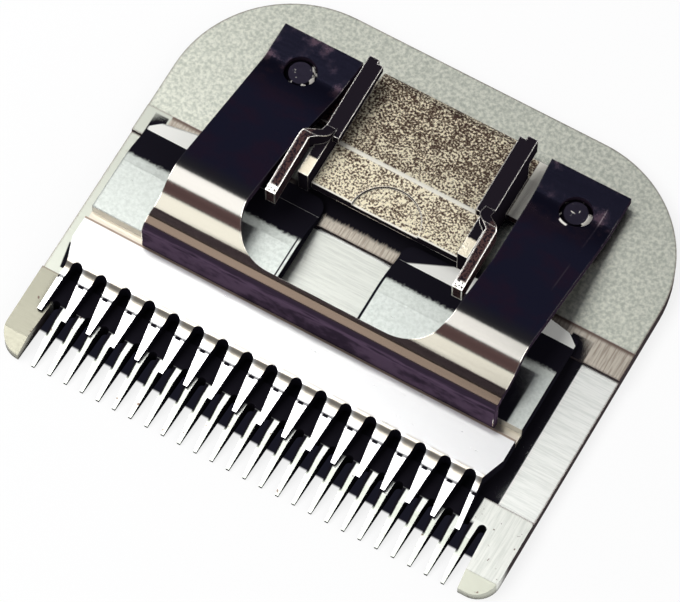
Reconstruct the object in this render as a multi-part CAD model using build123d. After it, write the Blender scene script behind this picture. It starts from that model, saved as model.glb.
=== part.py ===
from build123d import *
import os
from math import atan2, degrees, radians, sin, tan

# Every length is in millimetres.
# X runs along the row of teeth, Y from the tooth tips to the rear, Z up from the skin side.
# A set back is a distance behind the tooth tips, and a height is above the comb's ground top.

# Comb, the fixed lower blade
comb_width = 49.4
comb_depth = 43.2
comb_thickness = 1.8
rear_corner_radius = 12.0
left_guard_width = 2.6
right_guard_width = 3.25
comb_tooth_count = 26
comb_gap_root_width = 0.8
comb_gap_tip_width = 1.34
comb_tooth_length = 5.9
comb_tip_thickness = 0.3
comb_tooth_bevel = 4.2
guard_bevel = 1.6
guard_tip_thickness = 1.0
guard_tip_radius = 2.2
front_land_depth = 8.2
hollow_length = 15.4
hollow_depth = 0.4
rear_land_length = 2.9
plate_drop = 0.1

# Cutter, the sliding upper blade
cutter_tooth_count = 18
cutter_pitch_ratio = 1.5
cutter_set_back = 4.3
cutter_rest_shift = -1.7
cutter_gap_width = 1.15
cutter_tip_width = 0.4
cutter_head_depth = 4.95
cutter_tip_height = 0.45
cutter_tooth_height = 1.4
cutter_flat_height = 2.0
cutter_scoop_length = 1.5
cutter_scoop_sag = 0.25
cutter_scoop_blend = 0.5
cutter_tooth_top_length = 3.2
cutter_corner_run = 2.2
cutter_corner_inset = 0.8
cutter_rear_margin = 0.8
cutter_slope_length = 2.95
cutter_slope_blend = 6.0
cutter_ledge_length = 1.75
cutter_ledge_height = 0.8
cutter_relief_height = 0.3
cutter_rail_length = 2.4
cutter_slant_run = 4.2
cutter_slant_inset = 0.75
cutter_facet_length = 1.4
cutter_facet_width = 1.7
cutter_facet_share = 0.75
groove_depth = 1.0
groove_side_gap = 0.08
running_gap = 0.03

# Drive slot, open at the rear of the cutter
drive_slot_width = 8.0
drive_slot_wall = 1.0
drive_slot_rounding = 1.2

# Tension spring, one folded strip
spring_sheet = 0.9
spring_width = 35.2
spring_shelf_height = 5.6
spring_crest_rise = 2.0
spring_fall_angle = 42.0
spring_crest_share = 0.6
spring_valley_share = 0.36
lip_set_back = 13.55
lip_inner_radius = 0.4
shelf_length = 3.3
toe_radius = 3.0
arm_foot_length = 4.0
spring_rear_margin = 4.4
arm_inner_rear = 9.6
arm_taper_width = 0.85
window_set_back = 1.75
window_corner_radius = 4.6
window_length = 11.2

# Socket, one folded sheet with a leaf, two ears and two wings
socket_sheet = 1.0
socket_land_gap = 0.4
ear_arm_gap = 1.1
ear_nose_length = 1.7
ear_nose_floor = 2.0
ear_root_length = 9.6
ear_length = 11.1
ear_front_height = 5.1
ear_rear_height = 5.7
ear_heel_height = 2.2
flange_width = 0.6
flange_length = 8.0
flange_rear_margin = 0.4
tab_outset = 1.35
tab_length = 5.1
tab_front_height = 6.2
tab_rear_height = 6.9
tab_depth = 2.0
jog_set_back = 1.4
jog_run = 1.1
jog_root_run = 0.9
jog_inner_radius = 0.2
leaf_ear_gap = 0.12
leaf_rear_margin = 4.2
leaf_fold_inner_radius = 0.1
leaf_fold_flat = 0.1
leaf_run = 8.7
leaf_crease_height = 3.1
leaf_crease_radius = 4.0
leaf_flap_length = 4.7
leaf_flap_rise = 0.16
dimple_radius = 3.3
dimple_depth = 0.3
wing_length = 6.0
wing_side_gap = 0.4

# Screws, two alike
screw_edge_margin = 3.6
screw_rear_margin = 3.6
screw_diameter = 3.0
screw_hole_gap = 0.05
screw_head_diameter = 5.4
screw_head_height = 1.2
screw_slot_width = 0.8
screw_slot_depth = 0.6
screw_end_recess = 0.15
screw_end_chamfer = 0.4

# Sizes that follow from the ones above
plate_top = comb_thickness - plate_drop
hollow_floor = comb_thickness - hollow_depth
hollow_rear = front_land_depth + hollow_length
land_rear = hollow_rear + rear_land_length
comb_field = comb_width - left_guard_width - right_guard_width
comb_pitch = (comb_field - comb_gap_root_width) / comb_tooth_count
comb_first_gap = -comb_width / 2 + left_guard_width + comb_gap_root_width / 2
cutter_pitch = comb_pitch * cutter_pitch_ratio
cutter_tooth_width = cutter_pitch - cutter_gap_width
cutter_width = (cutter_tooth_count - 1) * cutter_pitch + cutter_tooth_width
cutter_rear = land_rear - cutter_rear_margin
cutter_floor = comb_thickness + running_gap
cutter_flat = comb_thickness + cutter_flat_height
groove_floor = cutter_flat - groove_depth
groove_front = lip_set_back - groove_side_gap
groove_rear = lip_set_back + spring_sheet + groove_side_gap
spring_rear = comb_depth - spring_rear_margin
arm_top = plate_top + socket_sheet + spring_sheet
window_half_width = arm_inner_rear + arm_taper_width
socket_front = land_rear + socket_land_gap
ear_outer = arm_inner_rear - ear_arm_gap
ear_inner = ear_outer - socket_sheet
leaf_half_width = ear_inner - leaf_ear_gap
leaf_rear = comb_depth - leaf_rear_margin
wing_half_width = spring_width / 2 - wing_side_gap
screw_spacing = spring_width - 2 * screw_edge_margin
screw_set_back = spring_rear - screw_rear_margin
screw_hole = Circle(screw_diameter / 2 + screw_hole_gap)


def from_tips(distance):
    return distance - comb_depth / 2


def half_turn(before, corner, after):
    # Half the inner angle at a corner of a path, in radians
    incoming = Vector(*before) - Vector(*corner)
    outgoing = Vector(*after) - Vector(*corner)
    return radians(incoming.get_angle(outgoing)) / 2


def rounded_path(corners, radii):
    # Straight runs through the corners, each inner corner rounded to its own radius
    runs = []
    start = Vector(*corners[0])
    for corner, following, radius in zip(corners[1:-1], corners[2:], radii):
        tip = Vector(*corner)
        incoming = (start - tip).normalized()
        outgoing = (Vector(*following) - tip).normalized()
        half_angle = half_turn(start, tip, following)
        reach = radius / tan(half_angle)
        bisector = (incoming + outgoing).normalized()
        arc_start = tip + incoming * reach
        arc_end = tip + outgoing * reach
        arc_middle = tip + bisector * (radius / sin(half_angle) - radius)
        runs.append(Line(start, arc_start))
        runs.append(ThreePointArc(arc_start, arc_middle, arc_end))
        start = arc_end
    runs.append(Line(start, Vector(*corners[-1])))
    return runs


def bent_sheet(corners, radii, sheet):
    # The edge view of a bent sheet: one face follows the corners, the other lies to its left,
    # or to its right where the sheet is given as a negative number
    points = [Vector(*corner) for corner in corners]
    ways = [(after - before).normalized() for before, after in zip(points, points[1:])]
    lefts = [Vector(-way.Y, way.X) for way in ways]
    far_points = [points[0] + lefts[0] * sheet]
    far_radii = []
    for index, radius in enumerate(radii):
        before, after = lefts[index], lefts[index + 1]
        mitre = (before + after) * (sheet / (1 + before.dot(after)))
        far_points.append(points[index + 1] + mitre)
        turns_left = ways[index].cross(ways[index + 1]).Z > 0
        far_radii.append(radius - sheet if turns_left else radius + sheet)
    far_points.append(points[-1] + lefts[-1] * sheet)
    near_runs = rounded_path(points, radii)
    far_runs = rounded_path(far_points, far_radii)
    ends = [Line(points[0], far_points[0]), Line(points[-1], far_points[-1])]
    return make_face(near_runs + far_runs + ends)


def side_plate(face, x_start, x_end):
    # A side view drawn in Y and Z, given its width along X
    plane = Plane(origin=(x_start, 0, 0), x_dir=(0, 1, 0), z_dir=(1, 0, 0))
    return extrude(plane * face, amount=x_end - x_start)


def side_view(points):
    return make_face(Polyline(*points, close=True))


def eased_corner(face, corner, radius):
    # A flat outline with the corner nearest to a point rounded off
    return fillet(face.vertices().sort_by_distance(Vector(*corner))[:1], radius)


def upright(sketch, z_start, z_end):
    return extrude(Pos(0, 0, z_start) * sketch, amount=z_end - z_start)


def tapered_gap(x, head, tip, head_width, tip_width):
    # One gap between two teeth, with a round head at the rear
    radius = head_width / 2
    left = (x - radius, head - radius)
    right = (x + radius, head - radius)
    sides = Polyline(left, (x - tip_width / 2, tip), (x + tip_width / 2, tip), right)
    return make_face(sides + ThreePointArc(right, (x, head), left))


def screw_places():
    return [Pos(side * screw_spacing / 2, from_tips(screw_set_back), 0) for side in (-1, 1)]


def make_comb():
    front = from_tips(0)
    rear = from_tips(comb_depth)
    half = comb_width / 2
    body = side_plate(side_view([
        (front, 0),
        (rear, 0),
        (rear, plate_top),
        (from_tips(land_rear), plate_top),
        (from_tips(land_rear), comb_thickness),
        (from_tips(hollow_rear), comb_thickness),
        (from_tips(hollow_rear), hollow_floor),
        (from_tips(front_land_depth), hollow_floor),
        (from_tips(front_land_depth), comb_thickness),
        (front, comb_thickness),
    ]), -half, half)
    outline = Rectangle(comb_width, comb_depth)
    outline = fillet(outline.vertices().group_by(Axis.Y)[-1], rear_corner_radius)
    outline = fillet(outline.vertices().group_by(Axis.Y)[0], guard_tip_radius)
    body = body & upright(outline, 0, comb_thickness)

    # Guards and fine teeth are bevelled down to thin tips
    field_start = -half + left_guard_width
    field_end = half - right_guard_width
    for bevel, tip_thickness, x_start, x_end in (
        (comb_tooth_bevel, comb_tip_thickness, field_start, field_end),
        (guard_bevel, guard_tip_thickness, -half, field_start),
        (guard_bevel, guard_tip_thickness, field_end, half),
    ):
        wedge = side_view([
            (front, tip_thickness),
            (front + bevel, comb_thickness),
            (front, comb_thickness),
        ])
        body -= side_plate(wedge, x_start, x_end)

    head = from_tips(comb_tooth_length)
    gaps = Sketch()
    for index in range(comb_tooth_count + 1):
        x = comb_first_gap + index * comb_pitch
        gaps += tapered_gap(x, head, front, comb_gap_root_width, comb_gap_tip_width)
    body -= upright(gaps, 0, comb_thickness)

    # Countersunk holes, entered from the skin side
    sink_wide = screw_head_diameter / 2 + screw_hole_gap
    sink_narrow = screw_diameter / 2 + screw_hole_gap
    sink = Cone(sink_wide, sink_narrow, screw_head_height)
    sink = Pos(0, 0, screw_head_height / 2) * sink
    for place in screw_places():
        body -= place * upright(screw_hole, 0, comb_thickness)
        body -= place * sink
    return body


def make_cutter():
    half = cutter_width / 2
    front = from_tips(cutter_set_back)
    step = front + cutter_tooth_top_length
    flat_start = step + cutter_scoop_length
    rear = from_tips(cutter_rear)
    ledge_start = rear - cutter_ledge_length
    rail_start = rear - cutter_rail_length
    relief_top = comb_thickness + cutter_relief_height
    ledge_top = comb_thickness + cutter_ledge_height
    scoop_start = (step, comb_thickness + cutter_tooth_height)
    scoop_end = (flat_start, cutter_flat)
    slope_start = (ledge_start - cutter_slope_length, cutter_flat)
    runs = Polyline(
        scoop_start,
        (front, comb_thickness + cutter_tip_height),
        (front, cutter_floor),
        (flat_start, cutter_floor),
        (flat_start, relief_top),
        (rail_start, relief_top),
        (rail_start, cutter_floor),
        (rear, cutter_floor),
        (rear, ledge_top),
        (ledge_start, ledge_top),
        slope_start,
        (from_tips(groove_rear), cutter_flat),
        (from_tips(groove_rear), groove_floor),
        (from_tips(groove_front), groove_floor),
        (from_tips(groove_front), cutter_flat),
        scoop_end,
    )
    scoop = SagittaArc(scoop_end, scoop_start, cutter_scoop_sag)
    profile = make_face(runs + scoop)
    profile = eased_corner(profile, slope_start, cutter_slope_blend)
    profile = eased_corner(profile, scoop_end, cutter_scoop_blend)
    body = side_plate(profile, -half, half)

    # Gaps between the teeth, the two outer corners of the row and the slanting rear corners
    gaps = Sketch()
    head = front + cutter_head_depth
    tip_gap = cutter_pitch - cutter_tip_width
    for index in range(cutter_tooth_count - 1):
        x = (index - (cutter_tooth_count - 2) / 2) * cutter_pitch
        gaps += tapered_gap(x, head, front, cutter_gap_width, tip_gap)
    last_tip = ((cutter_tooth_count - 1) * cutter_pitch + cutter_tip_width) / 2
    for side in (-1, 1):
        gaps += side_view([
            (side * half, flat_start + cutter_corner_run),
            (side * (half - cutter_corner_inset), flat_start),
            (side * last_tip, front),
            (side * half, front),
        ])
        gaps += side_view([
            (side * half, rear),
            (side * (half - cutter_slant_run), rear),
            (side * half, rear - cutter_slant_inset),
        ])
    body -= upright(gaps, comb_thickness, cutter_flat)

    slot_front = from_tips(groove_rear + drive_slot_wall)
    slot = Pos(0, (slot_front + rear) / 2) * Rectangle(drive_slot_width, rear - slot_front)
    body -= upright(slot, comb_thickness, cutter_flat)
    rear_corners = body.edges().filter_by(Axis.Z).group_by(Axis.Y)[-1]
    mouth_corners = rear_corners.sort_by(lambda edge: abs(edge.center().X))[:2]
    body = fillet(mouth_corners, drive_slot_rounding)

    # Rear corners bevelled downwards
    facet_drop = cutter_facet_share * (ledge_top - cutter_floor)
    for side in (-1, 1):
        tilt = Vector(side / cutter_facet_width, 1 / cutter_facet_length, 1 / facet_drop)
        corner = (side * half, rear - cutter_facet_length, ledge_top)
        body = split(body, Plane(origin=corner, z_dir=tilt), keep=Keep.BOTTOM)
    return Pos(cutter_rest_shift, 0, 0) * body


def make_spring():
    lip = from_tips(lip_set_back)
    shelf = comb_thickness + spring_shelf_height
    ridge = shelf + spring_crest_rise
    rise_angle = radians(spring_fall_angle)
    rise_run = spring_crest_rise / sin(rise_angle)
    valley_y = lip + shelf_length
    ridge_y = valley_y + spring_crest_rise / tan(rise_angle)
    rear = from_tips(spring_rear)
    corners = [
        (lip, groove_floor + running_gap),
        (lip, shelf),
        (valley_y, shelf),
        (ridge_y, ridge),
        (rear - arm_foot_length, arm_top),
        (rear, arm_top),
    ]
    # The valley and the crest each take their share of the run between them
    valley_radius = spring_valley_share * rise_run * tan(half_turn(*corners[1:4]))
    crest_radius = spring_crest_share * rise_run * tan(half_turn(*corners[2:5]))
    lip_radius = spring_sheet + lip_inner_radius
    bends = [lip_radius, valley_radius, crest_radius, toe_radius]
    strip = bent_sheet(corners, bends, -spring_sheet)
    body = side_plate(strip, -spring_width / 2, spring_width / 2)

    # The window between the two arms
    window_front = lip + window_set_back
    arm_taper = window_front + window_length
    window = side_view([
        (-arm_inner_rear, rear),
        (-window_half_width, arm_taper),
        (-window_half_width, window_front),
        (window_half_width, window_front),
        (window_half_width, arm_taper),
        (arm_inner_rear, rear),
    ])
    window = fillet(window.vertices().group_by(Axis.Y)[0], window_corner_radius)
    body -= upright(window, comb_thickness, ridge)
    for place in screw_places():
        body -= place * upright(screw_hole, comb_thickness, ridge)
    return body


def make_ear():
    # The right ear: a wall with a low nose, a flange folded inwards and a tab set outwards
    front = from_tips(socket_front)
    nose = (front - ear_nose_length, comb_thickness + ear_front_height)
    heel = (front + ear_length, comb_thickness + ear_rear_height)
    nose_floor = comb_thickness + ear_nose_floor
    heel_floor = heel[1] - ear_heel_height
    wall = side_view([
        nose,
        (nose[0], nose_floor),
        (front, nose_floor),
        (front, plate_top),
        (front + ear_root_length, plate_top),
        (front + ear_root_length, heel_floor),
        (heel[0], heel_floor),
        heel,
    ])
    body = side_plate(wall, ear_inner, ear_outer)

    flange_rear = heel[0] - flange_rear_margin
    slope = (heel[1] - nose[1]) / (heel[0] - nose[0])
    flange_ends = []
    for y in (flange_rear - flange_length, flange_rear):
        flange_ends.append((y, nose[1] + slope * (y - nose[0])))
    (front_y, front_z), (rear_y, rear_z) = flange_ends
    flange = side_view([
        (front_y, front_z),
        (rear_y, rear_z),
        (rear_y, rear_z - socket_sheet),
        (front_y, front_z - socket_sheet),
    ])
    body += side_plate(flange, ear_inner - flange_width, ear_inner)

    # The tab leaves the wall through a slanting jog
    tab_outer = ear_outer + tab_outset
    tab_front = front - tab_length
    jog_front = front + jog_set_back
    jog_rear = jog_front + jog_run
    root = jog_rear + jog_root_run
    root_top = nose[1] + slope * (root - nose[0])
    bends = [jog_inner_radius, socket_sheet + jog_inner_radius]
    strip = bent_sheet([
        (ear_outer, root),
        (ear_outer, jog_rear),
        (tab_outer, jog_front),
        (tab_outer, tab_front),
    ], bends, -socket_sheet)
    tops = [
        (tab_front, comb_thickness + tab_front_height),
        (jog_front, comb_thickness + tab_rear_height),
        (root, root_top),
    ]
    floors = [(y, z - tab_depth) for y, z in reversed(tops)]
    band = side_plate(side_view(tops + floors), 0, tab_outer)
    return body + (upright(strip, 0, comb_thickness + tab_rear_height) & band)


def make_socket():
    front = from_tips(socket_front)
    wing_rear = from_tips(spring_rear) - wing_side_gap
    fold = from_tips(leaf_rear)
    fold_radius = socket_sheet + leaf_fold_inner_radius
    fold_height = 2 * fold_radius + leaf_fold_flat
    crease = (fold - leaf_run, comb_thickness + leaf_crease_height)
    leaf_tip = (crease[0] - leaf_flap_length, crease[1] + leaf_flap_rise)
    corners = [
        (front, plate_top),
        (fold, plate_top),
        (fold, plate_top + fold_height),
        crease,
        leaf_tip,
    ]
    bends = [fold_radius, fold_radius, leaf_crease_radius]
    strip = bent_sheet(corners, bends, socket_sheet)
    body = side_plate(strip, -leaf_half_width, leaf_half_width)

    base = Pos(0, (front + wing_rear) / 2) * Rectangle(2 * ear_outer, wing_rear - front)
    wings = Pos(0, wing_rear - wing_length / 2) * Rectangle(2 * wing_half_width, wing_length)
    body += upright(base + wings, plate_top, plate_top + socket_sheet)

    ear = make_ear()
    body += ear
    body += mirror(ear, Plane.YZ)

    # Coined half circle at the front of the leaf
    slope = degrees(atan2(leaf_flap_rise, leaf_flap_length))
    dimple = Pos(0, leaf_tip[0], leaf_tip[1]) * Rot(X=-slope)
    body -= dimple * upright(Circle(dimple_radius), -dimple_depth, dimple_depth)
    for place in screw_places():
        body -= place * upright(screw_hole, 0, arm_top)
    return body


def make_screw():
    shank = screw_diameter / 2
    top = arm_top - screw_end_recess
    half_view = side_view([
        (0, 0),
        (screw_head_diameter / 2, 0),
        (shank, screw_head_height),
        (shank, top - screw_end_chamfer),
        (shank - screw_end_chamfer, top),
        (0, top),
    ])
    body = revolve(Plane.XZ * half_view, Axis.Z)
    slot = Rectangle(screw_slot_width, 2 * screw_head_diameter)
    return body - upright(slot, 0, screw_slot_depth)


parts = {
    "comb": make_comb(),
    "cutter": make_cutter(),
    "tension_spring": make_spring(),
    "socket": make_socket(),
    "screws": Compound(children=[place * make_screw() for place in screw_places()]),
}
os.makedirs("parts", exist_ok=True)
for name, shape in parts.items():
    export_step(shape, f"parts/{name}.step")
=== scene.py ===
import math

import bpy
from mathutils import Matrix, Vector


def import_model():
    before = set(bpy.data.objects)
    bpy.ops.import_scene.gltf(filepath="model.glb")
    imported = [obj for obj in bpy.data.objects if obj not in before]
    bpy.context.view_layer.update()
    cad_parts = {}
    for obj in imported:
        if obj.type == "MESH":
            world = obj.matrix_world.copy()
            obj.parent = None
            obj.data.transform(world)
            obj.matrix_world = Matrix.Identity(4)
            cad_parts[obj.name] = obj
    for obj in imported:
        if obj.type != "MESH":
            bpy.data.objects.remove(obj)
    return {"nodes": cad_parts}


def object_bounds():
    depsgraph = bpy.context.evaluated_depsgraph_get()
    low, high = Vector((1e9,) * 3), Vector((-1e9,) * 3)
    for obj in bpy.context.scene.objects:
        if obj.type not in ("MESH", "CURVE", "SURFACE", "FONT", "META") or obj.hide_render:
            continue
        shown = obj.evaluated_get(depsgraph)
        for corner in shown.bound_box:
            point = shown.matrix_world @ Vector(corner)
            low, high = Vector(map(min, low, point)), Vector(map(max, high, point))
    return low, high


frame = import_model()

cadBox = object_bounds()
mm = 0.001
tips = cadBox[0][1]  # y of the comb's tooth tips, from which every set back is counted
hair = 0.05 * mm  # half the width of a sharp border between two colours
bpy.context.scene.view_settings.view_transform = "Standard"
print("frame loaded:", ", ".join(sorted(frame["nodes"])))


def newFinish(name):
    finish = bpy.data.materials.new(name)
    finish.use_nodes = True
    tree = finish.node_tree
    shader = tree.nodes["Principled BSDF"]
    shader.inputs["Metallic"].default_value = 1.0
    shader.inputs["Specular IOR Level"].default_value = 0.0  # the painted shade and other coats are dull, the steel shines by its colour
    place = tree.nodes.new("ShaderNodeTexCoord").outputs["Object"]
    return finish, tree, shader, place


def feed(tree, socket, value):  # value is a link, a colour or a number
    if isinstance(value, bpy.types.NodeSocket):
        tree.links.new(value, socket)
    elif isinstance(value, tuple):
        socket.default_value = (*value, 1.0)
    else:
        socket.default_value = value


def axes(tree, place):
    split = tree.nodes.new("ShaderNodeSeparateXYZ")
    tree.links.new(place, split.inputs["Vector"])
    return split.outputs["X"], split.outputs["Y"], split.outputs["Z"]


def facing(tree):  # which way the surface looks, along x, y and z
    geometry = tree.nodes.new("ShaderNodeNewGeometry")
    return axes(tree, geometry.outputs["Normal"])


def figure(tree, job, first, second=0.0):
    node = tree.nodes.new("ShaderNodeMath")
    node.operation = job
    feed(tree, node.inputs[0], first)
    feed(tree, node.inputs[1], second)
    return node.outputs["Value"]


def absolute(tree, value):
    return figure(tree, "ABSOLUTE", value)


def invert(tree, share):
    return figure(tree, "SUBTRACT", 1.0, share)


def shifted(tree, value, other, times):
    return figure(tree, "ADD", value, figure(tree, "MULTIPLY", other, times))


def phase(tree, value, start, pitch):  # 0 to 1 along every pitch
    return figure(tree, "FRACT", figure(tree, "DIVIDE", figure(tree, "SUBTRACT", value, start), pitch))


def both(tree, *shares):
    total = shares[0]
    for share in shares[1:]:
        total = figure(tree, "MULTIPLY", total, share)
    return total


def either(tree, *shares):
    total = shares[0]
    for share in shares[1:]:
        total = figure(tree, "MAXIMUM", total, share)
    return total


def grain(tree, place, size, detail=3.0):  # noise whose blotches measure size along x, y and z
    stretch = tree.nodes.new("ShaderNodeMapping")
    stretch.inputs["Scale"].default_value = [1 / width for width in size]
    tree.links.new(place, stretch.inputs["Vector"])
    noise = tree.nodes.new("ShaderNodeTexNoise")
    noise.inputs["Scale"].default_value = 1.0
    noise.inputs["Detail"].default_value = detail
    noise.inputs["Roughness"].default_value = 0.6
    tree.links.new(stretch.outputs["Vector"], noise.inputs["Vector"])
    return noise.outputs["Fac"]


def roundGrain(tree, place, size, detail):
    return grain(tree, place, (size, size, size), detail)


def rise(tree, value, low, high):  # 0 below low, 1 above high, and an easy curve between
    ease = tree.nodes.new("ShaderNodeMapRange")
    ease.interpolation_type = "SMOOTHSTEP"
    ease.inputs["From Min"].default_value = low
    ease.inputs["From Max"].default_value = high
    tree.links.new(value, ease.inputs["Value"])
    return ease.outputs["Result"]


def fall(tree, value, low, high):
    return invert(tree, rise(tree, value, low, high))


def past(tree, value, edge, soft=hair):
    return rise(tree, value, edge - soft, edge + soft)


def before(tree, value, edge, soft=hair):
    return fall(tree, value, edge - soft, edge + soft)


def band(tree, value, low, high, soft=hair):
    return both(tree, past(tree, value, low, soft), before(tree, value, high, soft))


def fromTips(setBacks):  # a pair of set backs as a pair of y
    return [tips + setBack for setBack in setBacks]


def span(tree, value, low, high):  # spreads a 0 to 1 value over low to high
    node = tree.nodes.new("ShaderNodeMapRange")
    node.inputs["To Min"].default_value = low
    node.inputs["To Max"].default_value = high
    tree.links.new(value, node.inputs["Value"])
    return node.outputs["Result"]


def tint(tree, share, under, over):
    mix = tree.nodes.new("ShaderNodeMix")
    mix.data_type = "RGBA"  # its colours are inputs 6 and 7 and output 2
    feed(tree, mix.inputs["Factor"], share)
    feed(tree, mix.inputs[6], under)
    feed(tree, mix.inputs[7], over)
    return mix.outputs[2]


def coatOver(tree, shader, share, colour, shadeAndCoat):  # a dull colour covers the metal: painted shade, painted highlights, rust and wear
    feed(tree, shader.inputs["Metallic"], invert(tree, share))
    return tint(tree, share, colour, shadeAndCoat)


def roughen(tree, shader, height, depth):
    bump = tree.nodes.new("ShaderNodeBump")
    bump.inputs["Strength"].default_value = 1.0
    bump.inputs["Distance"].default_value = depth
    tree.links.new(height, bump.inputs["Height"])
    tree.links.new(bump.outputs["Normal"], shader.inputs["Normal"])


probe = {
    "gapSamples": 6,
    "coverSamples": 14,
    "coverTone": (0.0, 0.08),
    "edgeSamples": 4,
    "edgeTurn": (0.80, 0.97),  # cosines of the turn, from an edge to an open face
}


def crevice(tree, reach, samples=probe["gapSamples"]):  # 1 deep in a gap, 0 out in the open
    shade = tree.nodes.new("ShaderNodeAmbientOcclusion")
    shade.samples = samples
    shade.inputs["Distance"].default_value = reach
    return invert(tree, shade.outputs["AO"])


def shelter(tree, reach):  # 1 wherever something stands within reach
    return rise(tree, crevice(tree, reach, probe["coverSamples"]), *probe["coverTone"])


def edgeMask(tree, width):  # 1 on an edge, 0 on the open face
    soft = tree.nodes.new("ShaderNodeBevel")
    soft.samples = probe["edgeSamples"]
    soft.inputs["Radius"].default_value = width
    true = tree.nodes.new("ShaderNodeNewGeometry")
    turn = tree.nodes.new("ShaderNodeVectorMath")
    turn.operation = "DOT_PRODUCT"
    tree.links.new(soft.outputs["Normal"], turn.inputs[0])
    tree.links.new(true.outputs["Normal"], turn.inputs[1])
    return fall(tree, turn.outputs["Value"], *probe["edgeTurn"])


def dress(node, finish):
    mesh = frame["nodes"][node].data
    mesh.materials.clear()
    mesh.materials.append(finish)
    print("dressed:", node)


combLook = {
    "plate": (0.81, 0.82, 0.71),
    "plateDull": (0.52, 0.55, 0.47),
    "rail": (0.94, 0.95, 0.90),
    "railDull": (0.79, 0.81, 0.76),
    "guard": (0.84, 0.85, 0.79),
    "guardDull": (0.70, 0.72, 0.66),
    "slotFloor": (0.80, 0.82, 0.75),
    "slotFloorDull": (0.68, 0.70, 0.64),
    "leftRail": (0.60, 0.62, 0.54),
    "leftGuard": (0.37, 0.36, 0.285),
    "guardTip": (0.50, 0.51, 0.43),
    "toothTip": (0.56, 0.59, 0.53),
    "tooth": (0.40, 0.42, 0.37),
    "toothFlat": (0.84, 0.86, 0.80),
    "side": (0.060, 0.048, 0.050),
    "tan": (0.62, 0.57, 0.48),
    "tanDark": (0.40, 0.34, 0.28),
    "brown": (0.17, 0.12, 0.10),
    "shadeBlack": (0.010, 0.009, 0.013),
    "roughness": (0.30, 0.46),
    "speckTone": (0.3, 0.7),  # where the noise turns from dull to bright
    "grindTone": (0.3, 0.65),
    "landTone": (0.35, 0.6),
    "pitTone": (0.70, 0.76),
    "creviceShadeTone": (0.33, 0.41),
    "wallTilt": (0.2, 0.4),  # z of the way a wall looks
    "stepTilt": (0.3, 0.6),
    "speckSize": 0.35 * mm,
    "pitSize": 0.5 * mm,
    "grindLine": (2.6 * mm, 0.14 * mm),  # length and spacing of the grinding marks
    "grindDepth": 0.005 * mm,
    "edgeLine": 0.34 * mm,
    "creviceShadeReach": 2.0 * mm,
    "coverReach": 2.5 * mm,
    "sideStart": (1.5 * mm, 4.0 * mm),  # set backs, down to leafFade
    "bevelRear": 1.65 * mm,
    "toothShade": (2.0 * mm, 3.2 * mm),
    "ownSide": (2.8 * mm, 5.7 * mm),
    "flatFront": 4.2 * mm,
    "underCutter": (5.55 * mm, 9.7 * mm),
    "toothRear": 6.05 * mm,
    "lineFront": 7.95 * mm,
    "frontLand": 8.2 * mm,
    "wedge": (9.0 * mm, 11.5 * mm),
    "leftGapEnds": (20.0 * mm, 26.1 * mm),
    "slotRear": 23.3 * mm,
    "hollowRear": 23.6 * mm,
    "leafShade": (24.9 * mm, 25.4 * mm),
    "rightGapRear": 25.7 * mm,
    "landShade": (26.0 * mm, 26.4 * mm),
    "landRear": 26.5 * mm,
    "leafFade": (26.5 * mm, 29.5 * mm),
    "leafRagged": 0.8 * mm,
    "leafSide": (9 * mm, 11 * mm),  # x, down to wedgeLeft
    "field": (-22.1 * mm, 21.45 * mm),  # the toothed part
    "slot": (-6.2 * mm, 6.2 * mm),  # all that the drive slot sweeps
    "cutterLeft": -22.5 * mm,
    "cutterRight": 19.85 * mm,
    "rightGap": (19.0 * mm, 21.1 * mm),
    "leftGap": (-23.65 * mm, -22.3 * mm),
    "firstGap": -21.7 * mm,
    "wedgeLeft": -23.42 * mm,  # at its front end
    "wedgeSlope": 0.2,
    "toothPitch": 1.6442 * mm,
    "ownSidePhase": (0.42, 0.48),
    "gapSoft": 0.1 * mm,
    "ownSideSoft": 0.2 * mm,
}


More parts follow.
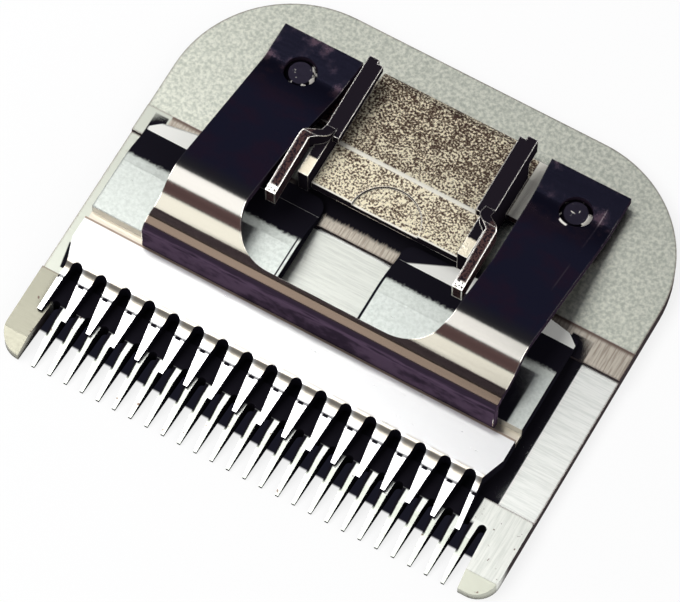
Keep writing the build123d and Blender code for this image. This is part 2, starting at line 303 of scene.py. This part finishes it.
def dressComb(look):
    finish, tree, shader, place = newFinish("comb_ground_steel")
    x, y = axes(tree, place)[:2]
    lookZ = facing(tree)[2]
    length, spacing = look["grindLine"]
    across = grain(tree, place, (length, spacing, length))
    along = grain(tree, place, (spacing, length, length))
    speckle = roundGrain(tree, place, look["speckSize"], detail=4.0)
    pits = roundGrain(tree, place, look["pitSize"], detail=1.0)
    frontStop = tips + look["frontLand"]
    landStart = tips + look["hollowRear"]
    landStop = tips + look["landRear"]
    fieldLeft, fieldRight = look["field"]
    gapSoft = look["gapSoft"]

    ground = rise(tree, across, *look["grindTone"])
    plate = tint(tree, rise(tree, speckle, *look["speckTone"]), look["plateDull"], look["plate"])
    rail = tint(tree, ground, look["railDull"], look["rail"])
    guard = tint(tree, rise(tree, along, *look["grindTone"]), look["guardDull"], look["guard"])
    onFront = before(tree, y, frontStop)
    field = both(tree, band(tree, x, fieldLeft, fieldRight), onFront)
    inTeeth = both(tree, field, before(tree, y, tips + look["toothRear"]))
    tooth = tint(tree, rise(tree, y, *fromTips(look["toothShade"])), look["toothTip"], look["tooth"])
    tooth = tint(tree, past(tree, y, tips + look["flatFront"]), tooth, look["toothFlat"])
    guard = tint(tree, before(tree, y, tips + look["bevelRear"]), guard, look["guardTip"])
    guard = tint(tree, inTeeth, guard, tooth)
    farLeft = before(tree, x, fieldLeft)
    rail = tint(tree, farLeft, rail, look["leftRail"])
    guard = tint(tree, farLeft, guard, look["leftGuard"])
    guard = tint(tree, rise(tree, pits, *look["pitTone"]), guard, look["brown"])
    land = tint(tree, rise(tree, along, *look["landTone"]), look["tanDark"], look["tan"])
    # browner to the rear of the land: partly its own colour, partly painted shade under the leaf
    land = tint(tree, rise(tree, y, *fromTips(look["landShade"])), land, look["brown"])
    land = tint(tree, farLeft, land, look["leftRail"])
    colour = tint(tree, past(tree, y, landStop), rail, plate)
    colour = tint(tree, band(tree, y, landStart, landStop), colour, land)
    colour = tint(tree, onFront, colour, guard)
    inSlot = both(tree, band(tree, x, *look["slot"]), band(tree, y, frontStop, tips + look["slotRear"]))
    slotFloor = tint(tree, ground, look["slotFloorDull"], look["slotFloor"])
    colour = tint(tree, inSlot, colour, slotFloor)

    # a thin dark line painted on the edges behind the teeth as shade, and painted shade in the steps and
    # painted shadow under the leaf
    behindTeeth = past(tree, y, tips + look["lineFront"])
    line = both(tree, edgeMask(tree, look["edgeLine"]), behindTeeth)
    colour = tint(tree, line, colour, look["brown"])
    step = both(tree, fall(tree, lookZ, *look["stepTilt"]), band(tree, y, landStart, landStop, gapSoft))
    ragged = shifted(tree, y, along, look["leafRagged"])
    underLeaf = both(tree, rise(tree, ragged, *fromTips(look["leafShade"])),
                     fall(tree, absolute(tree, x), *look["leafSide"]),
                     fall(tree, y, *fromTips(look["leafFade"])))
    leftOfEnd = before(tree, x, look["cutterRight"])
    clear = either(tree, inSlot, both(tree, field, leftOfEnd), both(tree, farLeft, behindTeeth))
    # painted shade in crevices, found by ambient occlusion
    shadeAndCoat = rise(tree, crevice(tree, look["creviceShadeReach"]), *look["creviceShadeTone"])
    shadeAndCoat = both(tree, shadeAndCoat, invert(tree, clear))

    # painted shade on the walls of the comb's teeth and painted shadow along their left side
    wall = fall(tree, lookZ, *look["wallTilt"])
    count = phase(tree, x, look["firstGap"], look["toothPitch"])
    ownSide = both(tree, fall(tree, count, *look["ownSidePhase"]),
                   band(tree, y, *fromTips(look["ownSide"]), look["ownSideSoft"]))
    between = both(tree, field, either(tree, ownSide, wall))

    # painted shade in the gaps beside the cutter and under its teeth, only while the cutter is there
    covered = shelter(tree, look["coverReach"])
    rightGap = both(tree, band(tree, x, *look["rightGap"]),
                    band(tree, y, frontStop, tips + look["rightGapRear"], gapSoft))
    leftGap = both(tree, band(tree, x, *look["leftGap"]),
                   band(tree, y, *fromTips(look["leftGapEnds"]), gapSoft))
    wedgeFront, wedgeRear = fromTips(look["wedge"])
    slope = look["wedgeSlope"]
    slant = past(tree, shifted(tree, x, y, slope), look["wedgeLeft"] + slope * wedgeFront)
    wedge = both(tree, farLeft, slant, band(tree, y, wedgeFront, wedgeRear))
    underCutter = both(tree, leftOfEnd, past(tree, x, look["cutterLeft"]),
                       band(tree, y, *fromTips(look["underCutter"]), gapSoft))
    gaps = both(tree, covered, either(tree, underCutter, rightGap, leftGap, wedge))

    # painted shade: dark brown on the comb's outer walls, black on the other shaded marks
    side = both(tree, wall, rise(tree, y, *fromTips(look["sideStart"])), invert(tree, field))
    coverColour = tint(tree, side, look["shadeBlack"], look["side"])
    # black painted shade over the comb's crevices, steps, walls, gaps and the ground under the leaf
    paintedShade = either(tree, shadeAndCoat, step, underLeaf, between, gaps, side)
    feed(tree, shader.inputs["Base Color"], coatOver(tree, shader, paintedShade, colour, coverColour))
    feed(tree, shader.inputs["Roughness"], span(tree, speckle, *look["roughness"]))
    roughen(tree, shader, across, look["grindDepth"])
    dress("comb", finish)


dressComb(combLook)

cutterLook = {
    "bright": (0.90, 0.90, 0.89),
    "grey": (0.74, 0.78, 0.73),
    "greyDull": (0.62, 0.66, 0.61),
    "window": (0.88, 0.93, 0.87),
    "windowDull": (0.72, 0.77, 0.71),
    "ledge": (0.90, 0.90, 0.85),
    "scoop": (0.50, 0.46, 0.39),
    "groove": (0.72, 0.66, 0.55),
    "grooveLine": (0.34, 0.26, 0.20),
    "shadeBlack": (0.010, 0.009, 0.014),
    "roughness": (0.24, 0.36),
    "speckTone": (0.3, 0.7),
    "creviceShadeTone": (0.60, 0.85),
    "wallTilt": (0.25, 0.45),  # z of the way a wall looks
    "sideTilt": (0.25, 0.40),  # x
    "slopeTilt": (0.17, 0.25),  # y
    "bendTilt": (0.01, 0.06),
    "slopeRagged": 0.12,
    "slopeEase": 0.12,  # the painted shade starts lower on the slope in the window
    "speckSize": 0.35 * mm,
    "grindLine": (2.0 * mm, 0.14 * mm),  # length and spacing of the grinding marks
    "grindDepth": 0.003 * mm,
    "outlineWidth": 0.30 * mm,
    "creviceShadeReach": 3.0 * mm,
    "coverReach": 4.0 * mm,
    "dash": (7.38 * mm, 7.70 * mm),  # set backs, down to ledgeFront
    "scoopStart": (8.1 * mm, 8.7 * mm),
    "scoopStop": (9.1 * mm, 9.5 * mm),
    "grooveLineFront": 13.27 * mm,
    "grooveFront": 13.47 * mm,
    "grooveRear": 14.53 * mm,
    "ledgeFront": 23.95 * mm,
    "scoopRagged": 0.6 * mm,
    "windowSide": (10 * mm, 11 * mm),  # x, down to springSide
    "slopeWindow": (2 * mm, 12 * mm),
    "ledgeShade": (12.5 * mm, 13.0 * mm),
    "shadeCorner": 3.2 * mm,  # where the light on the right ledge starts
    "shadeSlope": 0.45,
    "slotRims": ((2.30 * mm, 2.54 * mm), (-6.06 * mm, -5.92 * mm)),
    "outlineEnd": (-18 * mm, -17 * mm),
    "restShift": -1.7 * mm,
    "springSide": (16.0 * mm, 18.45 * mm),  # the strip in the spring's shade
    "toothPitch": 2.4663 * mm,
    "scoopPhase": (0.18, 0.42),
    "dashPhase": (0.34, 0.58),
    "phaseSoft": 0.04,
    "dashSoft": 0.04 * mm,
    "rimSoft": 0.03 * mm,
    "shadeSoft": 0.1 * mm,
    "slopeSoft": 0.2 * mm,
}


def dressCutter(look):
    finish, tree, shader, place = newFinish("cutter_bright_steel")
    x, y = axes(tree, place)[:2]
    lookX, lookY, lookZ = facing(tree)
    length, spacing = look["grindLine"]
    marks = grain(tree, place, (length, spacing, length))
    speckle = roundGrain(tree, place, look["speckSize"], detail=4.0)
    fromMiddle = absolute(tree, x)
    grooveFront = tips + look["grooveFront"]
    grooveRear = tips + look["grooveRear"]
    ledgeFront = tips + look["ledgeFront"]
    platform = past(tree, y, grooveRear)
    onLedge = past(tree, y, ledgeFront)

    mottled = rise(tree, speckle, *look["speckTone"])
    grey = tint(tree, mottled, look["greyDull"], look["grey"])
    # painted light: the platform under the spring's window is lighter, against the spring's shade
    window = tint(tree, mottled, look["windowDull"], look["window"])
    grey = tint(tree, fall(tree, fromMiddle, *look["windowSide"]), grey, window)
    colour = tint(tree, before(tree, y, grooveRear), grey, look["bright"])
    colour = tint(tree, onLedge, colour, look["ledge"])
    count = phase(tree, x, look["restShift"], look["toothPitch"])
    smudge = shifted(tree, y, speckle, look["scoopRagged"])
    scoop = both(tree, rise(tree, smudge, *fromTips(look["scoopStart"])),
                 fall(tree, y, *fromTips(look["scoopStop"])), rise(tree, count, *look["scoopPhase"]))
    colour = tint(tree, scoop, colour, look["scoop"])
    inGroove = band(tree, y, grooveFront, grooveRear)
    colour = tint(tree, inGroove, colour, look["groove"])
    grooveLine = band(tree, y, tips + look["grooveLineFront"], grooveFront)
    colour = tint(tree, grooveLine, colour, look["grooveLine"])

    # painted shade on the walls, on the slope down to the ledge and on the ledge beside the drive slot
    sideways = rise(tree, absolute(tree, lookX), *look["sideTilt"])
    walls = both(tree, either(tree, fall(tree, lookZ, *look["wallTilt"]), sideways), invert(tree, inGroove))
    inWindow = band(tree, x, *look["slopeWindow"], look["slopeSoft"])
    tilt = shifted(tree, lookY, speckle, look["slopeRagged"])
    tilt = shifted(tree, tilt, inWindow, -look["slopeEase"])
    slope = rise(tree, tilt, *look["slopeTilt"])
    bend = both(tree, platform, rise(tree, lookY, *look["bendTilt"]))
    shadeSlope = look["shadeSlope"]
    shadeStart = ledgeFront - shadeSlope * look["shadeCorner"]
    shaded = both(tree, onLedge, fall(tree, fromMiddle, *look["ledgeShade"]),
                  past(tree, shifted(tree, y, x, -shadeSlope), shadeStart, look["shadeSoft"]))

    # painted shade in a dash on each tooth, on the slot's rims, at the left edge and beside the spring
    dash = both(tree, band(tree, y, *fromTips(look["dash"]), look["dashSoft"]),
                band(tree, count, *look["dashPhase"], look["phaseSoft"]))
    rims = either(tree, *[band(tree, x, *rim, look["rimSoft"]) for rim in look["slotRims"]])
    outline = both(tree, edgeMask(tree, look["outlineWidth"]), fall(tree, x, *look["outlineEnd"]))
    rims = both(tree, either(tree, rims, outline), platform)
    # painted shade in crevices, found by ambient occlusion
    shadeAndCoat = both(tree, rise(tree, crevice(tree, look["creviceShadeReach"]), *look["creviceShadeTone"]),
                invert(tree, either(tree, inGroove, platform)))
    springSide = both(tree, shelter(tree, look["coverReach"]), platform, before(tree, y, ledgeFront),
                      band(tree, x, *look["springSide"], look["shadeSoft"]))
    paintedShade = either(tree, walls, slope, shaded, dash, rims, shadeAndCoat, springSide)
    feed(tree, shader.inputs["Base Color"], tint(tree, paintedShade, colour, look["shadeBlack"]))
    feed(tree, shader.inputs["Metallic"], invert(tree, either(tree, paintedShade, bend, onLedge)))
    feed(tree, shader.inputs["Roughness"], span(tree, marks, *look["roughness"]))
    roughen(tree, shader, marks, look["grindDepth"])
    dress("cutter", finish)


dressCutter(cutterLook)

springLook = {
    "bright": (0.215, 0.208, 0.192),
    "blued": (0.13, 0.13, 0.22),
    "cream": (0.198, 0.188, 0.158),
    "brown": (0.30, 0.18, 0.16),
    "purple": (0.19, 0.12, 0.20),
    "foot": (0.062, 0.060, 0.105),
    "footWorn": (0.15, 0.095, 0.125),
    "armHighlight": (0.42, 0.34, 0.37),
    "glint": (0.92, 0.90, 0.82),
    "shelf": (0.075, 0.055, 0.055),
    "lipBendHighlight": (0.070, 0.052, 0.040),
    "lip": (0.085, 0.055, 0.090),
    "lipDark": (0.030, 0.020, 0.034),
    "edge": (0.75, 0.71, 0.64),
    "roughness": (0.14, 0.22),
    "wornRoughness": 0.14,  # added where the foot is worn
    "purpleTone": (0.42, 0.66),  # where the clouds turn from one colour to the other
    "wearAndGlintTone": (0.50, 0.66),
    "edgeSheenTone": (0.38, 0.52),
    "armHighlightTone": (0.46, 0.58),
    "lipTone": (0.35, 0.60),
    "steepTilt": (-0.60, -0.50),  # y of the way the surface looks
    "wallTilt": (0.15, 0.45),  # z, down to lipTilt
    "lipFaceTilt": (0.80, 0.90),
    "lipTilt": (0.50, 0.70),
    "cloudSize": 3 * mm,
    "rollLine": (3.0 * mm, 0.14 * mm),  # length and spacing of the rolling marks
    "rollDepth": 0.0015 * mm,
    "edgeWidth": 0.17 * mm,
    "lipStop": (14.9 * mm, 15.1 * mm),  # set backs, down to footStart
    "shelfStop": (15.8 * mm, 16.05 * mm),
    "valley": (17.0 * mm, 17.8 * mm),
    "crest": (19.8 * mm, 21.8 * mm),
    "armStart": (22.8 * mm, 23.8 * mm),
    "footStart": (30.5 * mm, 35.0 * mm),
    "shelfRagged": 0.3 * mm,
    "hole": (14.0 * mm, 35.2 * mm),  # x and set back
    "holeClear": (2.1 * mm, 2.4 * mm),  # no bright edge, worn or painted highlight, this near a hole's middle
    "glintRing": (1.55 * mm, 1.82 * mm),
    "glintFront": (-1.2 * mm, -1.0 * mm),
    "glintSide": (-0.95 * mm, -0.05 * mm),
    "ringSoft": 0.06 * mm,
    "glintSoft": 0.08 * mm,
    "armHighlightSides": (16.25 * mm, 16.35 * mm),  # x, along the right arm
}


def dressSpring(look):
    finish, tree, shader, place = newFinish("spring_blued_steel")
    x, y = axes(tree, place)[:2]
    lookY, lookZ = facing(tree)[1:]
    length, spacing = look["rollLine"]
    marks = grain(tree, place, (length, spacing, length))
    cloud = roundGrain(tree, place, look["cloudSize"], detail=5.0)

    # painted reflections: a cream band in the valley and a bright one up to the crest, brown on the steep
    # part, dark on the shelf and a tan highlight on the lip's bend
    front = tint(tree, fall(tree, y, *fromTips(look["valley"])), look["bright"], look["cream"])
    arm = tint(tree, rise(tree, cloud, *look["purpleTone"]), look["blued"], look["purple"])
    colour = tint(tree, rise(tree, y, *fromTips(look["crest"])), front, arm)
    colour = tint(tree, fall(tree, lookY, *look["steepTilt"]), colour, look["brown"])
    ragged = shifted(tree, y, cloud, look["shelfRagged"])
    colour = tint(tree, fall(tree, ragged, *fromTips(look["shelfStop"])), colour, look["shelf"])
    inLip = fall(tree, y, *fromTips(look["lipStop"]))
    colour = tint(tree, inLip, colour, look["lipBendHighlight"])
    onFoot = rise(tree, y, *fromTips(look["footStart"]))
    wearAndGlints = both(tree, onFoot, rise(tree, cloud, *look["wearAndGlintTone"]))
    colour = tint(tree, onFoot, colour, look["foot"])
    colour = tint(tree, wearAndGlints, colour, look["footWorn"])

    # worn edges with painted highlights except at the holes, a painted glint at the right hole and a painted
    # highlight line on the right arm
    holeX, holeSetBack = look["hole"]
    beside = figure(tree, "SUBTRACT", absolute(tree, x), holeX)
    ahead = figure(tree, "SUBTRACT", y, tips + holeSetBack)
    squares = figure(tree, "ADD", figure(tree, "POWER", beside, 2.0), figure(tree, "POWER", ahead, 2.0))
    reach = figure(tree, "SQRT", squares)
    glintLeft, glintRight = look["glintSide"]
    glint = both(tree, band(tree, reach, *look["glintRing"], look["ringSoft"]),
                 fall(tree, ahead, *look["glintFront"]),
                 band(tree, x, holeX + glintLeft, holeX + glintRight, look["glintSoft"]))
    edgeSheenAndWear = both(tree, edgeMask(tree, look["edgeWidth"]), rise(tree, cloud, *look["edgeSheenTone"]),
                  rise(tree, reach, *look["holeClear"]))
    colour = tint(tree, edgeSheenAndWear, colour, look["edge"])
    armHighlight = both(tree, band(tree, x, *look["armHighlightSides"]), rise(tree, y, *fromTips(look["armStart"])),
                   rise(tree, cloud, *look["armHighlightTone"]))
    colour = tint(tree, armHighlight, colour, look["armHighlight"])

    # painted shade on the walls, and a dark purple front on the lip
    lipFace = both(tree, inLip, fall(tree, lookZ, *look["lipFaceTilt"]))
    walls = both(tree, either(tree, fall(tree, lookZ, *look["wallTilt"]), lipFace), invert(tree, edgeSheenAndWear))
    purple = both(tree, inLip, rise(tree, marks, *look["lipTone"]), fall(tree, lookZ, *look["lipTilt"]))
    coverColour = tint(tree, purple, look["lipDark"], look["lip"])
    coverColour = tint(tree, glint, coverColour, look["glint"])
    feed(tree, shader.inputs["Base Color"], coatOver(tree, shader, either(tree, walls, glint), colour, coverColour))
    smooth = span(tree, marks, *look["roughness"])
    feed(tree, shader.inputs["Roughness"], shifted(tree, smooth, wearAndGlints, look["wornRoughness"]))
    roughen(tree, shader, marks, look["rollDepth"])
    dress("tension_spring", finish)


dressSpring(springLook)

socketLook = {
    "black": (0.014, 0.011, 0.016),
    "rust": (0.075, 0.040, 0.038),
    "tan": (0.97, 0.90, 0.70),
    "tanDull": (0.27, 0.21, 0.145),
    "nose": (0.66, 0.60, 0.47),
    "cream": (0.95, 0.92, 0.82),
    "speck": (0.09, 0.055, 0.045),
    "edge": (0.95, 0.92, 0.86),
    "roughness": (0.30, 0.60),
    "tanTone": (0.44, 0.56),  # where the specks turn from one colour to the other
    "speckTone": (0.37, 0.42),
    "tabEndTone": (0.40, 0.50),
    "rustTone": (0.42, 0.56),
    "creviceShadeTone": (0.45, 0.75),
    "cloudShare": (0.74, 1.27),  # the clouds thin and thicken the specks
    "rearShare": 0.065,  # the specks are denser to the rear
    "upwardTilt": (0.3, 0.5),  # z of the way the surface looks
    "speckSize": 0.20 * mm,
    "speckDepth": 0.02 * mm,
    "cloudSize": 2 * mm,
    "edgeWidth": 0.17 * mm,
    "tabEdgeWidth": 0.30 * mm,
    "creviceShadeReach": 3.0 * mm,
    "leafTop": 6.0 * mm,  # leaf and noses lie below this, flanges and tabs above
    "coreHalfWidth": (8.6 * mm, 8.7 * mm),  # distances from the middle, down to wingMiddle
    "tabStart": (8.8 * mm, 8.9 * mm),
    "wingMiddle": 1 * mm,
    "tabEnd": (22.4 * mm, 22.7 * mm),  # set backs, down to crease
    "leafEdge": (25.72 * mm, 25.82 * mm),
    "rearSpecks": (26.3 * mm, 38.3 * mm),
    "noseRear": 27.0 * mm,
    "crease": (30.1 * mm, 30.5 * mm),
    "creaseSoft": 0.08 * mm,
    "soft": 0.1 * mm,
}


def dressSocket(look):
    finish, tree, shader, place = newFinish("socket_blasted_steel")
    x, y, z = axes(tree, place)
    lookZ = facing(tree)[2]
    specks = roundGrain(tree, place, look["speckSize"], detail=2.0)
    cloud = roundGrain(tree, place, look["cloudSize"], detail=3.0)
    fromMiddle = absolute(tree, x)

    # specks in two tones, denser to the rear of the crease
    behind = rise(tree, y, *fromTips(look["rearSpecks"]))
    cover = shifted(tree, specks, behind, -look["rearShare"])
    cover = figure(tree, "MULTIPLY", cover, span(tree, cloud, *look["cloudShare"]))
    leaf = tint(tree, rise(tree, cover, *look["tanTone"]), look["tanDull"], look["tan"])
    leaf = tint(tree, fall(tree, cover, *look["speckTone"]), leaf, look["speck"])
    # painted highlights along the crease and the leaf's front edge
    crease = band(tree, y, *fromTips(look["crease"]), look["creaseSoft"])
    leaf = tint(tree, crease, leaf, look["cream"])
    leaf = tint(tree, fall(tree, y, *fromTips(look["leafEdge"])), leaf, look["cream"])

    upward = rise(tree, lookZ, *look["upwardTilt"])
    core = both(tree, upward, before(tree, z, look["leafTop"], look["soft"]))
    outside = rise(tree, fromMiddle, *look["coreHalfWidth"])
    nose = both(tree, upward, before(tree, y, tips + look["noseRear"], look["soft"]), invert(tree, outside))
    wing = both(tree, core, outside)
    paintedLitWing = both(tree, wing, past(tree, x, 0.0, look["wingMiddle"]))  # the right wing is painted bright cream as lit, the left wing gets the painted black shade
    bare = both(tree, either(tree, core, nose), invert(tree, wing))
    colour = tint(tree, wing, leaf, look["cream"])
    colour = tint(tree, both(tree, nose, invert(tree, core)), colour, look["nose"])
    # bright edges: wear and painted highlights, with a painted highlight on each tab's front end
    tab = rise(tree, fromMiddle, *look["tabStart"])
    wideEdge = both(tree, tab, edgeMask(tree, look["tabEdgeWidth"]))
    tabEnd = both(tree, tab, upward, fall(tree, y, *fromTips(look["tabEnd"])),
                  rise(tree, specks, *look["tabEndTone"]))
    edge = either(tree, edgeMask(tree, look["edgeWidth"]), wideEdge, tabEnd)
    colour = tint(tree, edge, colour, look["edge"])

    # painted black shade and dark reflection, and rust, on all but the leaf, the noses and the edges
    # painted shade in crevices, found by ambient occlusion
    shadeAndCoat = rise(tree, crevice(tree, look["creviceShadeReach"]), *look["creviceShadeTone"])
    uncoated = either(tree, both(tree, bare, invert(tree, shadeAndCoat)), edge)
    rust = both(tree, tab, rise(tree, specks, *look["rustTone"]))
    coverColour = tint(tree, rust, look["black"], look["rust"])
    coverColour = tint(tree, paintedLitWing, coverColour, look["cream"])
    feed(tree, shader.inputs["Base Color"], coatOver(tree, shader, invert(tree, uncoated), colour, coverColour))
    feed(tree, shader.inputs["Roughness"], span(tree, core, *look["roughness"]))
    roughen(tree, shader, specks, look["speckDepth"])
    dress("socket", finish)


dressSocket(socketLook)

screwLook = {
    "dark": (0.030, 0.026, 0.042),
    "wearAndGlints": (0.90, 0.87, 0.79),
    "roughness": (0.25, 0.45),
    "wearAndGlintTone": (0.62, 0.68),
    "rimTone": (0.49, 0.53),
    "rimTilt": (0.80, 0.90),  # z of the way the rim looks
    "rimTurn": (0.2, 0.4),  # x
    "wearSize": 0.7 * mm,
    "wearDepth": 0.01 * mm,
}


def dressScrews(look):
    finish, tree, shader, place = newFinish("screw_dark_steel")
    lookX, lookZ = facing(tree)[::2]
    wear = roundGrain(tree, place, look["wearSize"], detail=4.0)
    # painted glints on the rim and the end, bright and not metal
    rim = both(tree, fall(tree, lookZ, *look["rimTilt"]), rise(tree, lookX, *look["rimTurn"]),
               rise(tree, wear, *look["rimTone"]))
    wearAndGlints = either(tree, rim, rise(tree, wear, *look["wearAndGlintTone"]))
    feed(tree, shader.inputs["Base Color"], coatOver(tree, shader, wearAndGlints, look["dark"], look["wearAndGlints"]))
    feed(tree, shader.inputs["Roughness"], span(tree, wear, *look["roughness"]))
    roughen(tree, shader, wear, look["wearDepth"])
    dress("screws", finish)


dressScrews(screwLook)

cameraSet = {
    "azimuth": 29.69,
    "elevation": 65.62,
    "distance": 457.7 * mm,
    "target": (-0.24 * mm, -3.42 * mm, 1.8 * mm),
    "lens": 276.0,
    "sensorWidth": 36.0,
    "clipStart": 10 * mm,
}


def setCamera(look):
    turn = math.radians(look["azimuth"])
    lift = math.radians(look["elevation"])
    back = Vector((math.sin(turn) * math.cos(lift), -math.cos(turn) * math.cos(lift), math.sin(lift)))
    lens = bpy.data.cameras.new("photoView")
    lens.lens = look["lens"]
    lens.sensor_width = look["sensorWidth"]
    lens.sensor_fit = "HORIZONTAL"
    lens.clip_start = look["clipStart"]
    view = bpy.data.objects.new("photoView", lens)
    bpy.context.scene.collection.objects.link(view)
    view.location = Vector(look["target"]) + back * look["distance"]
    view.rotation_euler = (-back).to_track_quat("-Z", "Y").to_euler()
    bpy.context.scene.camera = view
    print("camera set")


setCamera(cameraSet)

stageSet = {
    "floorSize": 3.0,
    "floorHeight": -0.02 * mm,
    "floorColour": (0.94, 0.94, 0.94),
    "floorRoughness": 0.9,
    "floorGlow": 0.82,  # share of the floor that is seen as plain white paper
    "glowColour": (1.0, 1.0, 1.0),
    "gapShadowColour": (0.012, 0.012, 0.02),  # painted shadow on the floor between the teeth
    "gapSide": (22.9 * mm, 23.0 * mm),  # distances from the middle
    "gapEnds": (3.4 * mm, 8.0 * mm),  # set backs
    "gapSoft": 0.12 * mm,
    "softboxSize": (0.36, 0.49),
    "softboxHeight": 0.45,
    "softboxShift": (-0.23, -0.115),
    "softboxPower": 2.5,
    "skyPale": (0.25, 0.25, 0.26),
    "skyDark": (0.060, 0.060, 0.080),
    "skyRight": (0.80, 0.80, 0.80),
    "skyDarkFrom": (0.05, 0.5),  # y of the aim
    "skyRightFrom": (0.15, 0.6),  # x of the aim
}


def layFloor(look):
    bpy.ops.object.select_all(action="DESELECT")
    bpy.ops.mesh.primitive_plane_add(size=look["floorSize"], location=(0, 0, look["floorHeight"]))
    floor = bpy.context.object
    floor.name = "floor"
    paper = bpy.data.materials.new("floor_paper")
    paper.use_nodes = True
    tree = paper.node_tree
    shader = tree.nodes["Principled BSDF"]
    x, y = axes(tree, tree.nodes.new("ShaderNodeTexCoord").outputs["Object"])[:2]
    # painted shadow on the floor seen between the comb's teeth
    inGap = both(tree, fall(tree, absolute(tree, x), *look["gapSide"]),
                 band(tree, y, *fromTips(look["gapEnds"]), look["gapSoft"]))
    feed(tree, shader.inputs["Base Color"], tint(tree, inGap, look["floorColour"], look["gapShadowColour"]))
    shader.inputs["Roughness"].default_value = look["floorRoughness"]
    shader.inputs["Specular IOR Level"].default_value = 0.0
    glow = tree.nodes.new("ShaderNodeEmission")
    feed(tree, glow.inputs["Color"], tint(tree, inGap, look["glowColour"], look["gapShadowColour"]))
    path = tree.nodes.new("ShaderNodeLightPath")
    seen = either(tree, path.outputs["Is Camera Ray"], path.outputs["Is Glossy Ray"],
                  path.outputs["Is Transmission Ray"])
    blend = tree.nodes.new("ShaderNodeMixShader")
    feed(tree, blend.inputs["Fac"], figure(tree, "MULTIPLY", seen, look["floorGlow"]))
    tree.links.new(shader.outputs["BSDF"], blend.inputs[1])
    tree.links.new(glow.outputs["Emission"], blend.inputs[2])
    tree.links.new(blend.outputs["Shader"], tree.nodes["Material Output"].inputs["Surface"])
    floor.data.materials.append(paper)


def hangSoftbox(look):
    box = bpy.data.lights.new("softbox", "AREA")
    box.shape = "RECTANGLE"
    box.size, box.size_y = look["softboxSize"]
    box.energy = look["softboxPower"]
    lamp = bpy.data.objects.new("softbox", box)
    bpy.context.scene.collection.objects.link(lamp)
    lamp.location = (*look["softboxShift"], look["softboxHeight"])


def paintSky(look):
    world = bpy.data.worlds.new("studio")
    bpy.context.scene.world = world
    world.use_nodes = True
    tree = world.node_tree
    aimX, aimY = axes(tree, tree.nodes.new("ShaderNodeTexCoord").outputs["Generated"])[:2]
    colour = tint(tree, rise(tree, aimY, *look["skyDarkFrom"]), look["skyPale"], look["skyDark"])
    colour = tint(tree, rise(tree, aimX, *look["skyRightFrom"]), colour, look["skyRight"])
    feed(tree, tree.nodes["Background"].inputs["Color"], colour)


layFloor(stageSet)
hangSoftbox(stageSet)
paintSky(stageSet)
print("stage set")
